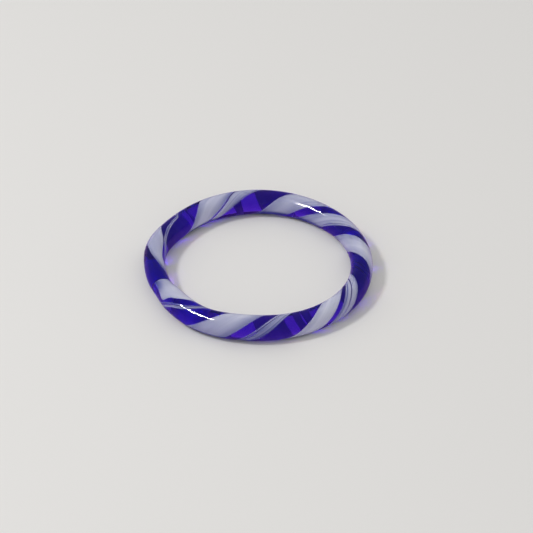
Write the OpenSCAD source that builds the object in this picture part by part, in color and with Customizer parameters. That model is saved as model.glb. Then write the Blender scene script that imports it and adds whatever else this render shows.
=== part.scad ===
// Glass bangle: a solid cobalt glass rod bent into a closed ring, with opal glass
// ribbons inlaid flush in its surface. The ribbons wind round the rod because the
// rod was twisted while it was hot, and they stop at the joint where its ends fuse.
// Angle round the ring: counter-clockwise from +X. Angle round the rod: 0 outwards,
// 90 up, 180 towards the wrist, 270 down.

/* [Ring] */
// Mean radius of the rod's centre line, seen from above
ring_r = 35.95; // [30:0.05:42]
// Width of the rod from the wrist side to the outside
rod_w = 7.6; // [6:0.1:10]
// Height of the rod above the surface that it lies on
rod_h = 8.9; // [6:0.1:11]

/* [Hand shaping] */
// How strongly the hand-bent shape shows, 0 for a true circle
hand_shape = 1; // [0:0.1:1.2]
// Half the difference between the ring's longest and shortest mean radius
oval = 0.13; // [0:0.01:0.5]
// Glass worn flat along the foot, where the ring lies on a table
foot_flat = 0.12; // [0.02:0.01:0.2]

/* [Ribbons] */
// Turns that the ribbons make round the rod in one round of the ring
twist_turns = 6.65; // [3:0.05:8]
// Depth of the inlaid opal glass
ribbon_t = 0.45; // [0.2:0.05:0.8]
// Share of a ribbon's width that its floor keeps, so that its sides slope
floor_share = 0.92; // [0.8:0.01:0.98]

/* [Joint] */
// Angle round the ring at the middle of the fused joint
joint_at = 203; // [180:1:230]
// Angle that the fused glass of the joint takes up
joint_span = 2; // [1:0.5:4]

/* [Hidden] */

cobalt = [0.16, 0.09, 0.46, 0.85];
opal = [0.74, 0.75, 0.86];
opal_warm = [0.80, 0.80, 0.88];

// Moves the outline so that it is centred over the origin
plan_shift = [0.3, 0, 0];
oval_dir = 135;

// Bends in the centre line: angle round the ring, half width of the bend, shift outwards
bends = [
  [10, 16, -0.15], [45, 16, -0.15], [80, 16, 0.15], [145, 13, -0.35], [168, 11, 0.8],
  [203, 5, -0.25], [211, 7, -0.2], [240, 12, 0.75], [330, 16, 0.2]
];
// Swellings and necks: angle round the ring, half width, change in thickness
swellings = [
  [95, 18, 0.03], [168, 11, 0.03], [186, 9, -0.05], [203, 5, -0.1],
  [222, 9, 0.05], [262, 14, 0.05], [310, 18, -0.03]
];

// Edges of the wide ribbon: angle round the ring, low edge and high edge in degrees
// round the rod, both counted from the even twist
wide_rows = [
  [204, -45, 75], [206, -57, 75], [210, -94, 71], [214, -134, 68], [218, -129, 66],
  [223, -139, 64], [228, -143, 62], [234, -133, 59], [245, -100, 57], [255, -77, 61],
  [270, -75, 63], [285, -60, 60], [302, -45, 58], [325, -50, 65], [335, -62, 66], [344, -86, 67],
  [352, -94, 68], [359, -92, 75], [366, -60, 70], [372, -50, 64], [390, -58, 66], [410, -62, 77],
  [422, -66, 58], [435, -74, 40], [442, -73, 28], [450, -72, 5], [455, -71, -20],
  [459, -64, -26], [462, -54, 26], [465, -50, 62], [471, -56, 74], [477, -68, 70],
  [483, -76, 63], [490, -64, 76], [495, -58, 104], [500, -51, 106], [507, -50, 82],
  [514, -68, 73], [520, -70, 68], [526, -60, 62], [532, -56, 34], [540, -79, -15],
  [546, -96, -31], [555, -117, -36], [562, -121, -40]
];
// Edges of the narrow ribbon and of the fine thread beside it, counted in the same way
narrow_rows = [
  [204, -163, -153, -147, -141], [213, -173, -161, -151, -145], [218, -177, -165, -158, -152],
  [222, -184, -172, -168, -162], [226, -197, -185, -181, -175], [230, -209, -197, -193, -188],
  [236, -213, -201, -197, -192], [250, -200, -172, -167, -158], [262, -183, -143, -138, -130],
  [280, -178, -142, -137, -126], [291, -170, -135, -129, -95], [300, -163, -128, -122, -88],
  [315, -155, -118, -112, -76], [330, -157, -117, -111, -79], [342, -147, -113, -107, -94],
  [351, -154, -117, -111, -101], [360, -165, -121, -116, -101], [380, -190, -131, -127, -117],
  [390, -200, -131, -127, -118], [400, -211, -149, -145, -137], [410, -233, -165, -161, -154],
  [420, -256, -178, -174, -169], [440, -290, -197, -194, -189], [448, -312, -207, -204, -199],
  [455, -302, -216, -213, -209], [462, -294, -226, -223, -219], [470, -278, -241, -238, -234],
  [476, -280, -252, -249, -246], [482, -280, -258, -254, -250], [490, -246, -234, -230, -225],
  [503, -195, -190, -187, -182], [509, -220, -215, -212, -207], [515, -249, -244, -241, -236],
  [520, -270, -265, -262, -257], [525, -287, -282, -279, -274], [530, -300, -295, -287, -279],
  [534, -315, -310, -297, -237], [538, -336, -331, -313, -224], [545, -360, -355, -343, -270],
  [552, -377, -372, -362, -318], [562, -385, -380, -372, -366]
];
// Angle round the ring at which the even twist is zero
twist_zero = 300;

// Stations along the rod, and facets round it in each band of the section
stations = 120;
wide_n = 10;
wide_gap_n = 5;
narrow_n = 4;
hair_gap_n = 1;
thread_n = 4;
thread_gap_n = 7;
joint_facets = 36;

rod_from = joint_at + joint_span / 2;
rod_span = 360 - joint_span;

// Value of a smooth hump of height 1, d degrees away from its middle
function hump(d, half) = let (w = (d + 540) % 360 - 180) exp(-0.5 * pow(w / half, 2));
function sum(v, i = 0) = i < len(v) ? v[i] + sum(v, i + 1) : 0;

function centre_r(th) = ring_r + hand_shape * (oval * cos(2 * (th - oval_dir))
  + sum([for (b = bends) b[2] * hump(th - b[0], b[1])]));
function thickness(th) = 1 + hand_shape * sum([for (s = swellings) s[2] * hump(th - s[0], s[1])]);

// Point at angle th round the ring and ph round the rod, a given depth below the glass
function glass_point(th, ph, depth) =
  let (
    k = thickness(th),
    r = centre_r(th) + (rod_w / 2 * k - depth) * cos(ph),
    z = rod_h / 2 * k - foot_flat + (rod_h / 2 * k - depth) * sin(ph)
  )
  [r * cos(th), r * sin(th), max(z, 0)];
function axis_point(th) =
  [centre_r(th) * cos(th), centre_r(th) * sin(th), rod_h / 2 * thickness(th)];

// Smooth curve through the rows' values in column c
function row_at(x, rows, i = 0) =
  (i >= len(rows) - 2 || x < rows[i + 1][0]) ? i : row_at(x, rows, i + 1);
function slope(rows, i, c) =
  let (a = max(i - 1, 0), b = min(i + 1, len(rows) - 1))
  (rows[b][c] - rows[a][c]) / (rows[b][0] - rows[a][0]);
function curve(x, rows, c) =
  let (
    i = row_at(x, rows),
    h = rows[i + 1][0] - rows[i][0],
    t = (x - rows[i][0]) / h,
    y0 = rows[i][c],
    y1 = rows[i + 1][c],
    m0 = slope(rows, i, c) * h,
    m1 = slope(rows, i + 1, c) * h
  )
  y0 + t * (m0 + t * (3 * (y1 - y0) - 2 * m0 - m1 + t * (2 * (y0 - y1) + m0 + m1)));

function even_twist(th) = twist_turns * (th - twist_zero);
function wide_edge(th, side) = even_twist(th) + curve(th, wide_rows, 1 + side);
function narrow_edge(th, side) = 360 + even_twist(th) + curve(th, narrow_rows, 1 + side);
function thread_edge(th, side) = 360 + even_twist(th) + curve(th, narrow_rows, 3 + side);

// n + 1 angles from a to b, and the same drawn in towards their middle
function spread(a, b, n) = [for (k = [0:n]) a + (b - a) * k / n];
function floor_spread(a, b, n) =
  let (mid = (a + b) / 2, half = (b - a) / 2 * floor_share)
  spread(mid - half, mid + half, n);

function at_surface(th, angles) = [for (ph = angles) glass_point(th, ph, 0)];
function at_floor(th, angles) = [for (ph = angles) glass_point(th, ph, ribbon_t)];

station_angles = [for (i = [0:stations]) rod_from + rod_span * i / stations];

// Section of the rod: grooves under the ribbons and bare glass between them
function rod_section(th) =
  let (
    w0 = wide_edge(th, 0), w1 = wide_edge(th, 1),
    n0 = narrow_edge(th, 0), n1 = narrow_edge(th, 1),
    t0 = thread_edge(th, 0), t1 = thread_edge(th, 1)
  )
  concat(
    at_floor(th, floor_spread(w0, w1, wide_n)),
    at_surface(th, spread(w1, n0, wide_gap_n)),
    at_floor(th, floor_spread(n0, n1, narrow_n)),
    at_surface(th, spread(n1, t0, hair_gap_n)),
    at_floor(th, floor_spread(t0, t1, thread_n)),
    at_surface(th, spread(t1, w0 + 360, thread_gap_n))
  );

// Solid through a list of closed sections, with a fan of triangles on each end
module loft(sections, first_hub, last_hub) {
  n = len(sections[0]);
  last = len(sections) - 1;
  hub = n * (last + 1);
  points = concat([for (s = sections) each s], [first_hub, last_hub]);
  sides = [for (i = [0:last - 1]) for (k = [0:n - 1])
    let (a = i * n + k, b = i * n + (k + 1) % n, c = a + n, d = b + n)
    each [[a, b, c], [b, d, c]]];
  first_cap = [for (k = [0:n - 1]) [hub, (k + 1) % n, k]];
  last_cap = [for (k = [0:n - 1]) [hub + 1, last * n + k, last * n + (k + 1) % n]];
  polyhedron(points, concat(sides, first_cap, last_cap));
}

// Ribbon between two edges: its top is flush with the rod and its floor fills the groove
module ribbon(low, high, n) {
  m = n + 1;
  points = [for (i = [0:stations]) each concat(
    at_surface(station_angles[i], spread(low[i], high[i], n)),
    at_floor(station_angles[i], floor_spread(low[i], high[i], n)))];
  top = [for (i = [0:stations - 1]) for (k = [0:n - 1])
    let (a = 2 * m * i + k, b = a + 1, c = a + 2 * m, d = c + 1)
    each [[a, b, c], [b, d, c]]];
  floor = [for (i = [0:stations - 1]) for (k = [0:n - 1])
    let (a = 2 * m * i + m + k, b = a + 1, c = a + 2 * m, d = c + 1)
    each [[a, c, b], [b, c, d]]];
  low_side = [for (i = [0:stations - 1])
    let (a = 2 * m * i, b = a + m, c = a + 2 * m, d = c + m)
    each [[a, c, b], [b, c, d]]];
  high_side = [for (i = [0:stations - 1])
    let (a = 2 * m * i + n, b = a + m, c = a + 2 * m, d = c + m)
    each [[b, d, a], [a, d, c]]];
  end = 2 * m * stations;
  first_cap = [for (k = [0:n - 1]) each [[k, m + k, m + k + 1], [k, m + k + 1, k + 1]]];
  last_cap = [for (k = [0:n - 1])
    each [[end + k, end + m + k + 1, end + m + k], [end + k, end + k + 1, end + m + k + 1]]];
  polyhedron(points, concat(top, floor, low_side, high_side, first_cap, last_cap));
}

module cobalt_rod() {
  color(cobalt)
    translate(plan_shift)
      loft(
        [for (th = station_angles) rod_section(th)],
        axis_point(station_angles[0]),
        axis_point(station_angles[stations])
      );
}

module wide_ribbon() {
  color(opal)
    translate(plan_shift)
      ribbon(
        [for (th = station_angles) wide_edge(th, 0)],
        [for (th = station_angles) wide_edge(th, 1)],
        wide_n
      );
}

module narrow_ribbon() {
  color(opal)
    translate(plan_shift)
      ribbon(
        [for (th = station_angles) narrow_edge(th, 0)],
        [for (th = station_angles) narrow_edge(th, 1)],
        narrow_n
      );
}

module fine_thread() {
  color(opal_warm)
    translate(plan_shift)
      ribbon(
        [for (th = station_angles) thread_edge(th, 0)],
        [for (th = station_angles) thread_edge(th, 1)],
        thread_n
      );
}

// Clear cobalt glass where the rod's two ends were melted together
module joint_glass() {
  ends = [joint_at - joint_span / 2, joint_at, joint_at + joint_span / 2];
  angles = [for (k = [0:joint_facets - 1]) 360 * k / joint_facets];
  color(cobalt)
    translate(plan_shift)
      loft([for (th = ends) at_surface(th, angles)], axis_point(ends[0]), axis_point(ends[2]));
}

cobalt_rod();
wide_ribbon();
narrow_ribbon();
fine_thread();
joint_glass();
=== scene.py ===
"""Looks for the glass bangle: cobalt glass with white opal ribbons twisted round it.

Lengths in the shape functions are in millimetres and angles in degrees, as in the CAD
source, and every mesh is written in metres.
"""
import math

import bpy
import numpy as np
from mathutils import Matrix, Vector


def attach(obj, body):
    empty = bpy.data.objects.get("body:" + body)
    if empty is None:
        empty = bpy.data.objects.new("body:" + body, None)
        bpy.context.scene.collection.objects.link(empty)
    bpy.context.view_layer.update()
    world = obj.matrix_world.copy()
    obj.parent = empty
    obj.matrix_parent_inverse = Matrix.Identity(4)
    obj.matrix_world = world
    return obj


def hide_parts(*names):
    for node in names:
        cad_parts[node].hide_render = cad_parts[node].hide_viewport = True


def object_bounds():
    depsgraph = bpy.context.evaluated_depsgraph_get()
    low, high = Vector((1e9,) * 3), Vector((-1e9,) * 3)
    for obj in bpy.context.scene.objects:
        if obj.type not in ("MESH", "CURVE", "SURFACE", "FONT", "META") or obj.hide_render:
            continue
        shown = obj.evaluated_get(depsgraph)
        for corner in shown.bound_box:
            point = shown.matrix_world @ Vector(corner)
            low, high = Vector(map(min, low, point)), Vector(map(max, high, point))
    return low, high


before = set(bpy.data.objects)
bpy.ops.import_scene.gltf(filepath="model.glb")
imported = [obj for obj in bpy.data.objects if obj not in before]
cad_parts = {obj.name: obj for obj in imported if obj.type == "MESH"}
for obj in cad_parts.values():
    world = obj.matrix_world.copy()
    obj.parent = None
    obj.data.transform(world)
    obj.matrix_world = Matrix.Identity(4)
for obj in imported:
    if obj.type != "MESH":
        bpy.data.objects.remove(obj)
cad_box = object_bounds()

MM = 0.001

# ---------------------------------------------------------------- shape of the ring
RING_R = 35.95
ROD_W = 7.6
ROD_H = 8.9
OVAL, OVAL_DIR = 0.13, 135
FOOT_FLAT = 0.12
PLAN_SHIFT = 0.3
TWIST_TURNS = 6.65
TWIST_ZERO = 300
JOINT_AT = 203
JOINT_SPAN = 2

# Angle round the ring, half width of the bend, shift outwards
BENDS = [
    (10, 16, -0.15), (45, 16, -0.15), (80, 16, 0.15), (145, 13, -0.35), (168, 11, 0.8),
    (203, 5, -0.25), (211, 7, -0.2), (240, 12, 0.75), (330, 16, 0.2),
]
# Angle round the ring, half width, change in thickness
SWELLINGS = [
    (95, 18, 0.03), (168, 11, 0.03), (186, 9, -0.05), (203, 5, -0.1),
    (222, 9, 0.05), (262, 14, 0.05), (310, 18, -0.03),
]
# Angle round the ring, then the low and high edge round the rod, from the even twist
WIDE_ROWS = [
    (204, -45, 75), (206, -57, 75), (210, -94, 71), (214, -134, 68), (218, -129, 66),
    (223, -139, 64), (228, -143, 62), (234, -133, 59), (245, -100, 57), (255, -77, 61),
    (270, -75, 63), (285, -60, 60), (302, -45, 58), (325, -50, 65), (335, -62, 66),
    (344, -86, 67), (352, -94, 68), (359, -92, 75), (366, -60, 70), (372, -50, 64),
    (390, -58, 66), (410, -62, 77), (422, -66, 58), (435, -74, 40), (442, -73, 28),
    (450, -72, 5), (455, -71, -20), (459, -64, -26), (462, -54, 26), (465, -50, 62),
    (471, -56, 74), (477, -68, 70), (483, -76, 63), (490, -64, 76), (495, -58, 104),
    (500, -51, 106), (507, -50, 82), (514, -68, 73), (520, -70, 68), (526, -60, 62),
    (532, -56, 34), (540, -79, -15), (546, -96, -31), (555, -117, -36), (562, -121, -40),
]
# The same for the narrow ribbon, and then for the fine thread beside it
NARROW_ROWS = [
    (204, -163, -153, -147, -141), (213, -173, -161, -151, -145), (218, -177, -165, -158, -152),
    (222, -184, -172, -168, -162), (226, -197, -185, -181, -175), (230, -209, -197, -193, -188),
    (236, -213, -201, -197, -192), (250, -200, -172, -167, -158), (262, -183, -143, -138, -130),
    (280, -178, -142, -137, -126), (291, -170, -135, -129, -95), (300, -163, -128, -122, -88),
    (315, -155, -118, -112, -76), (330, -157, -117, -111, -79), (342, -147, -113, -107, -94),
    (351, -154, -117, -111, -101), (360, -165, -121, -116, -101), (380, -190, -131, -127, -117),
    (390, -200, -131, -127, -118), (400, -211, -149, -145, -137), (410, -233, -165, -161, -154),
    (420, -256, -178, -174, -169), (440, -290, -197, -194, -189), (448, -312, -207, -204, -199),
    (455, -302, -216, -213, -209), (462, -294, -226, -223, -219), (470, -278, -241, -238, -234),
    (476, -280, -252, -249, -246), (482, -280, -258, -254, -250), (490, -246, -234, -230, -225),
    (503, -195, -190, -187, -182), (509, -220, -215, -212, -207), (515, -249, -244, -241, -236),
    (520, -270, -265, -262, -257), (525, -287, -282, -279, -274), (530, -300, -295, -287, -279),
    (534, -315, -310, -297, -237), (538, -336, -331, -313, -224), (545, -360, -355, -343, -270),
    (552, -377, -372, -362, -318), (562, -385, -380, -372, -366),
]

# How thickly the opal glass covers the cobalt glass: angle round the ring, then the low edge,
# the middle and the high edge of the ribbon
WIDE_COVER = [
    (204, 0.05, 0.60, 0.75), (208, 0.20, 0.75, 0.80), (212, 0.55, 0.85, 0.85), (220, 0.76, 0.97, 0.90),
    (228, 0.95, 0.95, 0.60), (236, 0.60, 0.60, 0.36), (244, 0.45, 0.51, 0.60), (252, 0.31, 0.67, 0.77),
    (260, 0.38, 0.86, 1.00),
    (268, 0.36, 0.89, 0.95), (284, 0.55, 0.80, 0.70), (300, 0.63, 0.91, 0.73), (308, 0.74, 0.98, 0.73),
    (316, 0.80, 0.96, 0.76), (324, 0.62, 0.88, 0.70), (348, 0.60, 0.85, 0.45), (356, 0.80, 1.00, 0.70),
    (364, 0.97, 0.93, 0.63), (372, 0.68, 0.77, 0.63), (380, 0.44, 0.78, 0.70), (412, 0.50, 0.80, 0.55),
    (420, 0.65, 0.81, 0.56), (428, 0.75, 0.75, 0.40), (436, 0.51, 0.72, 0.38), (444, 0.45, 0.55, 0.05),
    (452, 0.13, 0.30, 0.05), (460, 0.50, 0.70, 0.40), (468, 0.70, 0.80, 0.28), (476, 0.72, 0.82, 0.55),
    (484, 0.49, 0.89, 0.85), (492, 0.42, 0.96, 1.00), (500, 0.55, 0.90, 1.00), (516, 0.60, 0.70, 0.75),
    (532, 0.56, 0.67, 0.74), (540, 0.45, 0.73, 0.84), (548, 0.16, 0.73, 0.87), (562, 0.20, 0.60, 0.80),
]
NARROW_COVER = [
    (204, 0.35, 0.35, 0.40), (220, 0.38, 0.35, 0.42), (228, 0.26, 0.33, 0.38), (236, 0.30, 0.37, 0.37),
    (250, 0.20, 0.30, 0.20), (264, 0.10, 0.29, 0.17), (272, 0.12, 0.37, 0.28), (284, 0.37, 0.63, 0.56),
    (300, 0.60, 0.75, 0.60), (312, 0.60, 0.69, 0.50), (320, 0.75, 0.66, 0.56), (328, 0.52, 0.77, 0.67),
    (336, 0.37, 0.67, 0.60), (360, 0.60, 0.75, 0.65), (384, 0.70, 0.86, 0.83), (392, 0.60, 0.78, 0.70),
    (400, 0.52, 0.75, 0.62), (408, 0.42, 0.70, 0.55), (416, 0.42, 0.42, 0.40), (428, 0.22, 0.35, 0.35),
    (440, 0.40, 0.50, 0.50), (452, 0.55, 0.70, 0.55), (458, 0.57, 0.71, 0.50), (464, 0.57, 0.67, 0.38),
    (472, 0.72, 0.65, 0.56), (484, 0.90, 0.80, 0.70), (494, 0.50, 0.20, 0.05), (504, 0.70, 0.25, 0.05),
    (520, 0.70, 0.25, 0.05), (528, 0.50, 0.60, 0.70), (562, 0.50, 0.60, 0.70),
]
THREAD_COVER = [
    (204, 0.20, 0.20, 0.20), (228, 0.12, 0.12, 0.12), (264, 0.15, 0.15, 0.12), (276, 0.37, 0.45, 0.57),
    (304, 0.60, 0.66, 0.56), (312, 0.62, 0.56, 0.22), (320, 0.82, 0.62, 0.36), (328, 0.76, 0.69, 0.54),
    (386, 0.84, 0.67, 0.50), (393, 0.60, 0.50, 0.40), (401, 0.70, 0.50, 0.30), (420, 0.40, 0.40, 0.30),
    (456, 0.26, 0.30, 0.30), (480, 0.40, 0.40, 0.40), (492, 0.05, 0.35, 0.60), (506, 0.05, 0.50, 0.90),
    (522, 0.05, 0.50, 0.90), (562, 0.40, 0.40, 0.40),
]

# Dark hairlines within a ribbon: angle round the ring, half length, place across the ribbon
# from -1 to 1, half width there, and depth
WIDE_HAIRLINES = [(396, 16, -0.55, 0.04, 0.4), (418, 12, 0.50, 0.05, 0.3), (474, 12, -0.45, 0.05, 0.3)]
NARROW_HAIRLINES = [
    (274, 14, -0.35, 0.12, 0.8), (330, 14, -0.50, 0.07, 0.3), (400, 20, 0.50, 0.09, 0.3),
    (402, 20, -0.40, 0.06, 0.2), (466, 12, 0.10, 0.07, 0.4),
]
THREAD_HAIRLINES = [(328, 22, 0.35, 0.14, 0.9)]

# Painted shade on the ribbons' undersides: where the surface faces further down than this, the opal is
# painted in the dark cobalt veil colour: angle round the ring, upward part of the surface's direction
UNDERSIDE_SHADE = [
    (0, -0.70), (30, -0.50), (50, -0.22), (115, -0.22), (150, -0.38), (204, -0.50), (220, -0.42),
    (270, -0.40), (290, -0.60), (315, -0.95), (335, -0.60), (360, -0.70),
]

# Opal glass stands this far proud of the cobalt glass, so that the two surfaces don't coincide
PROUD = 0.012
# Depth of the opal glass, and the share of a ribbon's width that its floor keeps
RIBBON_T = 0.40
FLOOR_SHARE = 0.92
# Cover that's left under the painted shade on a ribbon's underside, and how softly the shade comes on
SHADED_UNDERSIDE_COVER = 0.07
UNDERSIDE_SHADE_BLUR = 0.2


def hump(d, half):
    w = (d + 540) % 360 - 180
    return np.exp(-0.5 * (w / half) ** 2)


def centre_r(th):
    bends = sum(out * hump(th - at, half) for at, half, out in BENDS)
    return RING_R + OVAL * np.cos(2 * np.radians(th - OVAL_DIR)) + bends


def thickness(th):
    return 1 + sum(change * hump(th - at, half) for at, half, change in SWELLINGS)


def glass_point(th, ph, depth):
    """Points in metres at angle th round the ring and ph round the rod, depth below the glass."""
    k = thickness(th)
    t, p = np.radians(th), np.radians(ph)
    r = centre_r(th) + (ROD_W / 2 * k - depth) * np.cos(p)
    z = ROD_H / 2 * k - FOOT_FLAT + (ROD_H / 2 * k - depth) * np.sin(p)
    point = np.stack([r * np.cos(t) + PLAN_SHIFT, r * np.sin(t), np.maximum(z, 0)], -1)
    return point * MM


def curve(x, rows, c):
    """Smooth curve through column c of the rows, as in the CAD source."""
    rows = np.array(rows, float)
    i = np.clip(np.searchsorted(rows[:, 0], x, side="right") - 1, 0, len(rows) - 2)
    a = np.maximum(np.arange(len(rows)) - 1, 0)
    b = np.minimum(np.arange(len(rows)) + 1, len(rows) - 1)
    slope = (rows[b, c] - rows[a, c]) / (rows[b, 0] - rows[a, 0])
    h = rows[i + 1, 0] - rows[i, 0]
    t = (x - rows[i, 0]) / h
    y0, y1, m0, m1 = rows[i, c], rows[i + 1, c], slope[i] * h, slope[i + 1] * h
    return y0 + t * (m0 + t * (3 * (y1 - y0) - 2 * m0 - m1 + t * (2 * (y0 - y1) + m0 + m1)))


def even_twist(th):
    return TWIST_TURNS * (th - TWIST_ZERO)


# ---------------------------------------------------------------- mesh helpers
def outward(th, ph):
    """Unit normal of the bare glass surface, from small steps round the ring and round the rod."""
    step = 0.02
    along = glass_point(th + step, ph, 0) - glass_point(th - step, ph, 0)
    around = glass_point(th, ph + step, 0) - glass_point(th, ph - step, 0)
    normal = np.cross(along, around)
    normal /= np.linalg.norm(normal, axis=-1, keepdims=True)
    return normal


def mesh_object(name, points, faces, normals=None):
    """Smooth mesh, with its normals one a point where they're given."""
    mesh = bpy.data.meshes.new(name)
    mesh.from_pydata(points.reshape(-1, 3).tolist(), [], faces)
    mesh.shade_smooth()
    if normals is not None:
        mesh.normals_split_custom_set_from_vertices(normals.reshape(-1, 3).tolist())
    obj = bpy.data.objects.new(name, mesh)
    bpy.context.scene.collection.objects.link(obj)
    return obj


def grid_faces(rows, cols, wrap_rows=False, wrap_cols=False):
    """Quads of a grid of points numbered row by row, facing outwards on the ring."""
    faces = []
    for i in range(rows if wrap_rows else rows - 1):
        for k in range(cols if wrap_cols else cols - 1):
            j, m = (i + 1) % rows, (k + 1) % cols
            faces.append((i * cols + k, j * cols + k, j * cols + m, i * cols + m))
    return faces


# ---------------------------------------------------------------- cobalt glass
GLASS_STATIONS = 720
GLASS_FACETS = 96


def make_glass():
    th = np.arange(GLASS_STATIONS) * 360 / GLASS_STATIONS
    ph = np.arange(GLASS_FACETS) * 360 / GLASS_FACETS
    th, ph = np.meshgrid(th, ph, indexing="ij")
    return mesh_object(
        "cobalt_glass_ring",
        glass_point(th, ph, 0),
        grid_faces(GLASS_STATIONS, GLASS_FACETS, True, True),
        outward(th, ph),
    )


# ---------------------------------------------------------------- opal ribbons
RIBBON_STEP = 0.5
# The ribbons start on a slant at the joint: how far it reaches, and the angle over which it fades
SLANT = 3.0
SLANT_SPAN = 10
# An edge's cover starts to count this far out from the middle, and counts fully this much further
EDGE_FROM = 0.1
EDGE_SPAN = 0.85


def edge_share(share):
    """How much an edge counts at a place across a ribbon: 0 round its middle and 1 close to the edge."""
    x = np.clip((share - EDGE_FROM) / EDGE_SPAN, 0, 1)
    return x * x * (3 - 2 * x)


def add_attribute(mesh, name, kind, field, values):
    attribute = mesh.attributes.new(name, kind, "POINT")
    attribute.data.foreach_set(field, values.reshape(-1).astype(np.float32))


def set_ribbon_normals(mesh, section, quads, across, grid_th, top_ph, floor_ph):
    """The top and the floor follow the rod's own normals, and the sides and ends are flat."""
    n = section.shape[1]
    smooth = [outward(grid_th, top_ph), -outward(grid_th[:, ::-1], floor_ph)]
    smooth = np.concatenate(smooth, 1).reshape(-1, 3)
    corners = section.reshape(-1, 3)[quads]
    flat = np.cross(corners[:, 2] - corners[:, 0], corners[:, 3] - corners[:, 1])
    flat /= np.linalg.norm(flat, axis=1, keepdims=True)
    on_side = np.isin(np.arange(len(quads)) % n, [across, n - 1])
    loops = np.where(on_side[:, None, None], flat[:, None], smooth[quads]).reshape(-1, 3)
    ends = [mesh.polygons[len(quads)].normal, mesh.polygons[len(quads) + 1].normal]
    loops = np.concatenate([loops] + [np.repeat(np.array(end)[None], n, 0) for end in ends])
    mesh.normals_split_custom_set(loops.tolist())


def ribbon_cover_and_shade(th, across_all, cover_rows, hairlines, upward):
    """How thickly the opal glass covers the cobalt glass at each point of a ribbon's sections, with
    painted shade where the ribbon faces down.
    """
    edge_low, centre, edge_high = [curve(th, cover_rows, c)[:, None] for c in (1, 2, 3)]
    cover_and_shade = centre + (edge_low - centre) * edge_share(-across_all)
    cover_and_shade = cover_and_shade + (edge_high - centre) * edge_share(across_all)
    for at, reach, place, half_width, depth in hairlines:
        along = np.exp(-0.5 * ((th - at) / reach * 1.5) ** 4)[:, None]
        line = np.exp(-0.5 * ((across_all - place) / half_width) ** 2)
        cover_and_shade = cover_and_shade * (1 - depth * along * line)
    # Painted shade: where the ribbon faces down, its cover drops so that it takes the dark veil colour
    painted_underside_shade = np.clip((curve(th % 360, UNDERSIDE_SHADE, 1)[:, None] - upward) / UNDERSIDE_SHADE_BLUR, 0, 1)
    cover_and_shade[:, : upward.shape[1]] *= 1 - (1 - SHADED_UNDERSIDE_COVER) * painted_underside_shade
    return np.clip(cover_and_shade, 0, 1)


def make_ribbon(name, rows, column, across, cover_rows, hairlines):
    """Closed strip of opal glass: a top that follows the rod's surface, sides and a floor inside it."""
    first, last = JOINT_AT + JOINT_SPAN / 2, JOINT_AT + 360 - JOINT_SPAN / 2
    stations = int((last - first) / RIBBON_STEP)
    th = np.linspace(first, last, stations)
    turn = 0 if rows is WIDE_ROWS else 360
    low = even_twist(th) + turn + curve(th, rows, column)
    high = even_twist(th) + turn + curve(th, rows, column + 1)
    share = np.linspace(-1, 1, across + 1)
    mid, half = ((low + high) / 2)[:, None], ((high - low) / 2)[:, None]
    slant = np.clip((first + SLANT_SPAN - th) / SLANT_SPAN, 0, 1)[:, None]
    grid_th = th[:, None] - SLANT * slant * (1 - share) / 2
    top_ph = mid + half * share
    floor_ph = mid + half * share[::-1] * FLOOR_SHARE
    section = np.concatenate(
        [glass_point(grid_th, top_ph, -PROUD), glass_point(grid_th[:, ::-1], floor_ph, RIBBON_T)], 1
    )
    n = section.shape[1]
    quads = grid_faces(stations, n, False, True)
    ends = [tuple(range(n)), tuple((stations - 1) * n + k for k in reversed(range(n)))]
    obj = mesh_object(name, section, quads + ends)
    set_ribbon_normals(obj.data, section, np.array(quads), across, grid_th, top_ph, floor_ph)
    inner = np.arange(len(quads) + len(ends)) % n >= across
    obj.data.polygons.foreach_set("material_index", inner.astype(np.int32))

    # Place across the ribbon, round the ring and the ribbon's width, for the streaks
    across_all = np.concatenate([share, share[::-1]])
    flow = np.stack([
        np.repeat(across_all[None], stations, 0),
        np.repeat(th[:, None], n, 1) / 360,
        np.repeat(half * 2, n, 1) / 360,
    ], -1)
    add_attribute(obj.data, "flow", "FLOAT_VECTOR", "vector", flow)
    upward = outward(grid_th, top_ph)[:, :, 2]
    # Cover of the opal, with the painted shade on the ribbon's underside
    cover_and_shade = ribbon_cover_and_shade(th, across_all, cover_rows, hairlines, upward)
    add_attribute(obj.data, "cover_and_shade", "FLOAT", "value", cover_and_shade)
    return obj


# ---------------------------------------------------------------- materials
GLASS_IOR = 1.5
# Strength of the painted glow on the opal's inner faces, standing in for light that comes through the
# opal
PAINTED_INNER_GLOW = 0.13


def new_material(name):
    """Material with a Principled shader and nothing else."""
    material = bpy.data.materials.new(name)
    material.use_nodes = True
    nodes, links = material.node_tree.nodes, material.node_tree.links
    nodes.clear()
    out = nodes.new("ShaderNodeOutputMaterial")
    shader = nodes.new("ShaderNodeBsdfPrincipled")
    links.new(shader.outputs["BSDF"], out.inputs["Surface"])
    return material, nodes, links, shader, out


def cobalt_material():
    """Clear glass that takes its blue from the depth that light crosses."""
    material, nodes, links, shader, out = new_material("cobalt_glass")
    shader.inputs["Base Color"].default_value = (1, 1, 1, 1)
    shader.inputs["Roughness"].default_value = 0.0
    shader.inputs["IOR"].default_value = GLASS_IOR
    shader.inputs["Transmission Weight"].default_value = 1.0
    shader.inputs["Specular IOR Level"].default_value = 0.5
    volume = nodes.new("ShaderNodeVolumeAbsorption")
    volume.inputs["Color"].default_value = (0.42, 0.08, 0.885, 1)
    volume.inputs["Density"].default_value = 640
    links.new(volume.outputs["Volume"], out.inputs["Volume"])

    # Light passes straight through to the floor, and the glass colours it on the way
    path = nodes.new("ShaderNodeLightPath")
    clear = nodes.new("ShaderNodeBsdfTransparent")
    clear.inputs["Color"].default_value = (1.0, 1.0, 0.34, 1)
    mix = nodes.new("ShaderNodeMixShader")
    links.new(path.outputs["Is Shadow Ray"], mix.inputs["Fac"])
    links.new(shader.outputs["BSDF"], mix.inputs[1])
    links.new(clear.outputs["BSDF"], mix.inputs[2])
    links.new(mix.outputs["Shader"], out.inputs["Surface"])
    return material


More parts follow.
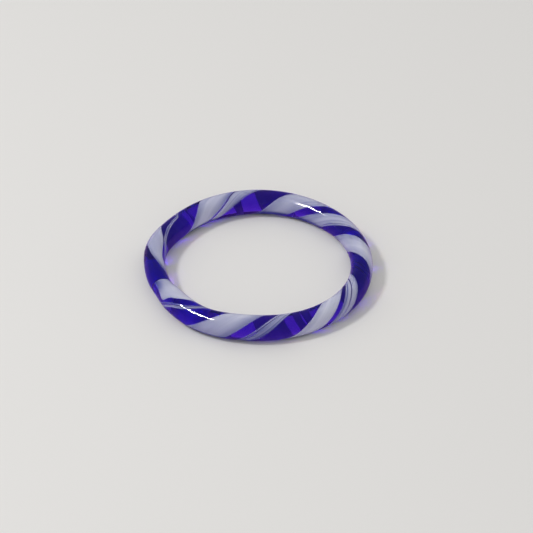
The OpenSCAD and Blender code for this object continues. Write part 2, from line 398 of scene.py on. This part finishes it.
def opal_material(name, painted_glow):
    """Opal glass. Its inner faces carry a painted glow, emission that stands in for the light that comes
    through it from outside.
    """
    material, nodes, links, shader, _ = new_material(name)
    shader.inputs["Emission Color"].default_value = (1, 1, 1, 1)
    shader.inputs["Emission Strength"].default_value = painted_glow
    flow = nodes.new("ShaderNodeAttribute")
    flow.attribute_name = "flow"
    stretch = nodes.new("ShaderNodeMapping")
    stretch.inputs["Scale"].default_value = (2.2, 16, 1)
    streaks = nodes.new("ShaderNodeTexNoise")
    streaks.inputs["Scale"].default_value = 1.0
    streaks.inputs["Detail"].default_value = 3
    ramp = nodes.new("ShaderNodeValToRGB")
    ramp.color_ramp.elements[0].position = 0.3
    ramp.color_ramp.elements[0].color = (0.56, 0.58, 0.70, 1)
    ramp.color_ramp.elements[1].position = 0.7
    ramp.color_ramp.elements[1].color = (0.69, 0.70, 0.80, 1)
    links.new(flow.outputs["Vector"], stretch.inputs["Vector"])
    links.new(stretch.outputs["Vector"], streaks.inputs["Vector"])
    links.new(streaks.outputs["Fac"], ramp.inputs["Fac"])
    # Thin cover and the painted shade on the undersides both take the dark cobalt veil colour
    cover_and_shade = nodes.new("ShaderNodeAttribute")
    cover_and_shade.attribute_name = "cover_and_shade"
    veil = nodes.new("ShaderNodeMix")
    veil.data_type = "RGBA"
    veil.inputs["A"].default_value = (0.03, 0.04, 0.30, 1)
    links.new(cover_and_shade.outputs["Fac"], veil.inputs["Factor"])
    links.new(ramp.outputs["Color"], veil.inputs["B"])
    links.new(veil.outputs["Result"], shader.inputs["Base Color"])
    shader.inputs["Roughness"].default_value = 0.04
    shader.inputs["IOR"].default_value = GLASS_IOR
    shader.inputs["Subsurface Weight"].default_value = 1.0
    shader.inputs["Subsurface Radius"].default_value = (1.0, 1.0, 1.0)
    shader.inputs["Subsurface Scale"].default_value = 0.0008
    return material


# ---------------------------------------------------------------- the bangle
glass = make_glass()
glass.data.materials.append(cobalt_material())
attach(glass, "root")
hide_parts("cobalt_rod", "joint_glass")

opal = opal_material("opal_glass", 0)
# Opal for the ribbons' inner faces, with the painted glow
opal_inner_painted_glow = opal_material("opal_glass_inner_painted_glow", PAINTED_INNER_GLOW)
for piece_name, node, rows, column, across, cover_rows, hairlines in [
    ("opal_wide_ribbon", "wide_ribbon", WIDE_ROWS, 1, 56, WIDE_COVER, WIDE_HAIRLINES),
    ("opal_narrow_ribbon", "narrow_ribbon", NARROW_ROWS, 1, 36, NARROW_COVER, NARROW_HAIRLINES),
    ("opal_fine_thread", "fine_thread", NARROW_ROWS, 3, 20, THREAD_COVER, THREAD_HAIRLINES),
]:
    piece = make_ribbon(piece_name, rows, column, across, cover_rows, hairlines)
    piece.data.materials.append(opal)
    piece.data.materials.append(opal_inner_painted_glow)
    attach(piece, "root")
    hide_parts(node)

# ---------------------------------------------------------------- floor, light and camera
middle = (cad_box[0] + cad_box[1]) / 2


def make_floor():
    size = 3.0
    points = np.array([(-size, -size, 0), (size, -size, 0), (size, size, 0), (-size, size, 0)], float)
    floor = mesh_object("floor", points, [(0, 1, 2, 3)])
    material, nodes, links, shader, _ = new_material("pale_paper")
    shader.inputs["Roughness"].default_value = 0.9
    shader.inputs["Specular IOR Level"].default_value = 0.0

    # Painted reflection: the paper is painted darker and purple where the glass reflects it, and keeps
    # its own colour seen directly or through the glass
    path = nodes.new("ShaderNodeLightPath")
    mirrored = nodes.new("ShaderNodeMath")
    mirrored.operation = "GREATER_THAN"
    painted_reflection_tone = nodes.new("ShaderNodeMix")
    painted_reflection_tone.data_type = "RGBA"
    painted_reflection_tone.inputs["A"].default_value = (0.80, 0.79, 0.775, 1)
    painted_reflection_tone.inputs["B"].default_value = (0.30, 0.18, 0.50, 1)
    links.new(path.outputs["Is Glossy Ray"], mirrored.inputs[0])
    links.new(path.outputs["Is Transmission Ray"], mirrored.inputs[1])
    links.new(mirrored.outputs["Value"], painted_reflection_tone.inputs["Factor"])
    links.new(painted_reflection_tone.outputs["Result"], shader.inputs["Base Color"])

    # Painted glow: the paper glows a little where it is seen through the glass, standing in for light
    # that the glass gathers onto it
    painted_glow_seen_through_glass = nodes.new("ShaderNodeMath")
    painted_glow_seen_through_glass.operation = "MULTIPLY"
    painted_glow_seen_through_glass.inputs[1].default_value = 0.08
    links.new(path.outputs["Is Transmission Ray"], painted_glow_seen_through_glass.inputs[0])
    links.new(painted_glow_seen_through_glass.outputs["Value"], shader.inputs["Emission Strength"])
    shader.inputs["Emission Color"].default_value = (1, 1, 1, 1)
    floor.data.materials.append(material)


def aim(obj, location, target):
    obj.location = location
    obj.rotation_mode = "QUATERNION"
    obj.rotation_quaternion = (Vector(target) - Vector(location)).to_track_quat("-Z", "Y")


def make_light(name, direction, long_axis, distance, length, width, power, mirrored):
    """Oval lamp that faces the bangle, with its longer side along long_axis.

    It's either only seen as a reflection in the glass or only lights the scene.
    """
    data = bpy.data.lights.new(name, "AREA")
    data.shape = "ELLIPSE"
    data.size, data.size_y = length, width
    data.energy = power
    light = bpy.data.objects.new(name, data)
    bpy.context.scene.collection.objects.link(light)
    z = Vector(direction).normalized()
    y = z.cross(Vector(long_axis)).normalized()
    light.rotation_mode = "QUATERNION"
    light.rotation_quaternion = Matrix([y.cross(z), y, z]).transposed().to_quaternion()
    light.location = middle + z * distance
    light.visible_glossy = mirrored
    light.visible_diffuse = not mirrored
    light.visible_transmission = not mirrored


def make_world(strength, mirrored):
    """Even light all round, dimmer where it's seen as a reflection."""
    world = bpy.data.worlds.new("studio")
    bpy.context.scene.world = world
    world.use_nodes = True
    nodes, links = world.node_tree.nodes, world.node_tree.links
    background = nodes["Background"]
    background.inputs["Color"].default_value = (1.0, 0.995, 0.985, 1)
    path = nodes.new("ShaderNodeLightPath")
    level = nodes.new("ShaderNodeMapRange")
    level.inputs["To Min"].default_value = strength
    level.inputs["To Max"].default_value = mirrored
    links.new(path.outputs["Is Glossy Ray"], level.inputs["Value"])
    links.new(level.outputs["Result"], background.inputs["Strength"])


make_floor()
# Direction of the lamps' longer side
LAMP_AXIS = (-0.61, 0.73, -0.32)
make_light("key", (-0.60, -0.12, 0.785), LAMP_AXIS, 1.2, 0.20, 0.20, 5.1, False)
make_light("window", (-0.686, -0.204, 0.699), LAMP_AXIS, 1.2, 0.68, 0.19, 24, True)
make_world(0.625, 0.17)

# Camera: its height over the floor as an angle, its distance, and how far it aims off the ring's middle
ELEVATION = math.radians(37.76)
DISTANCE = 0.820
AIM_RIGHT = 0.00267
AIM_DOWN = 0.00127


def make_camera():
    camera = bpy.data.objects.new("camera", bpy.data.cameras.new("camera"))
    bpy.context.scene.collection.objects.link(camera)
    bpy.context.scene.camera = camera
    camera.data.sensor_width = 36
    camera.data.lens = 158.8
    camera.data.clip_start = 0.01
    camera.data.clip_end = 20
    back = Vector((0, -math.cos(ELEVATION), math.sin(ELEVATION)))
    up = Vector((0, math.sin(ELEVATION), math.cos(ELEVATION)))
    target = Vector((PLAN_SHIFT * MM + AIM_RIGHT, 0, ROD_H / 2 * MM)) - up * AIM_DOWN
    aim(camera, target + back * DISTANCE, target)


make_camera()
scene = bpy.context.scene
scene.view_settings.view_transform = "Standard"
scene.cycles.max_bounces = 16
scene.cycles.transmission_bounces = 16
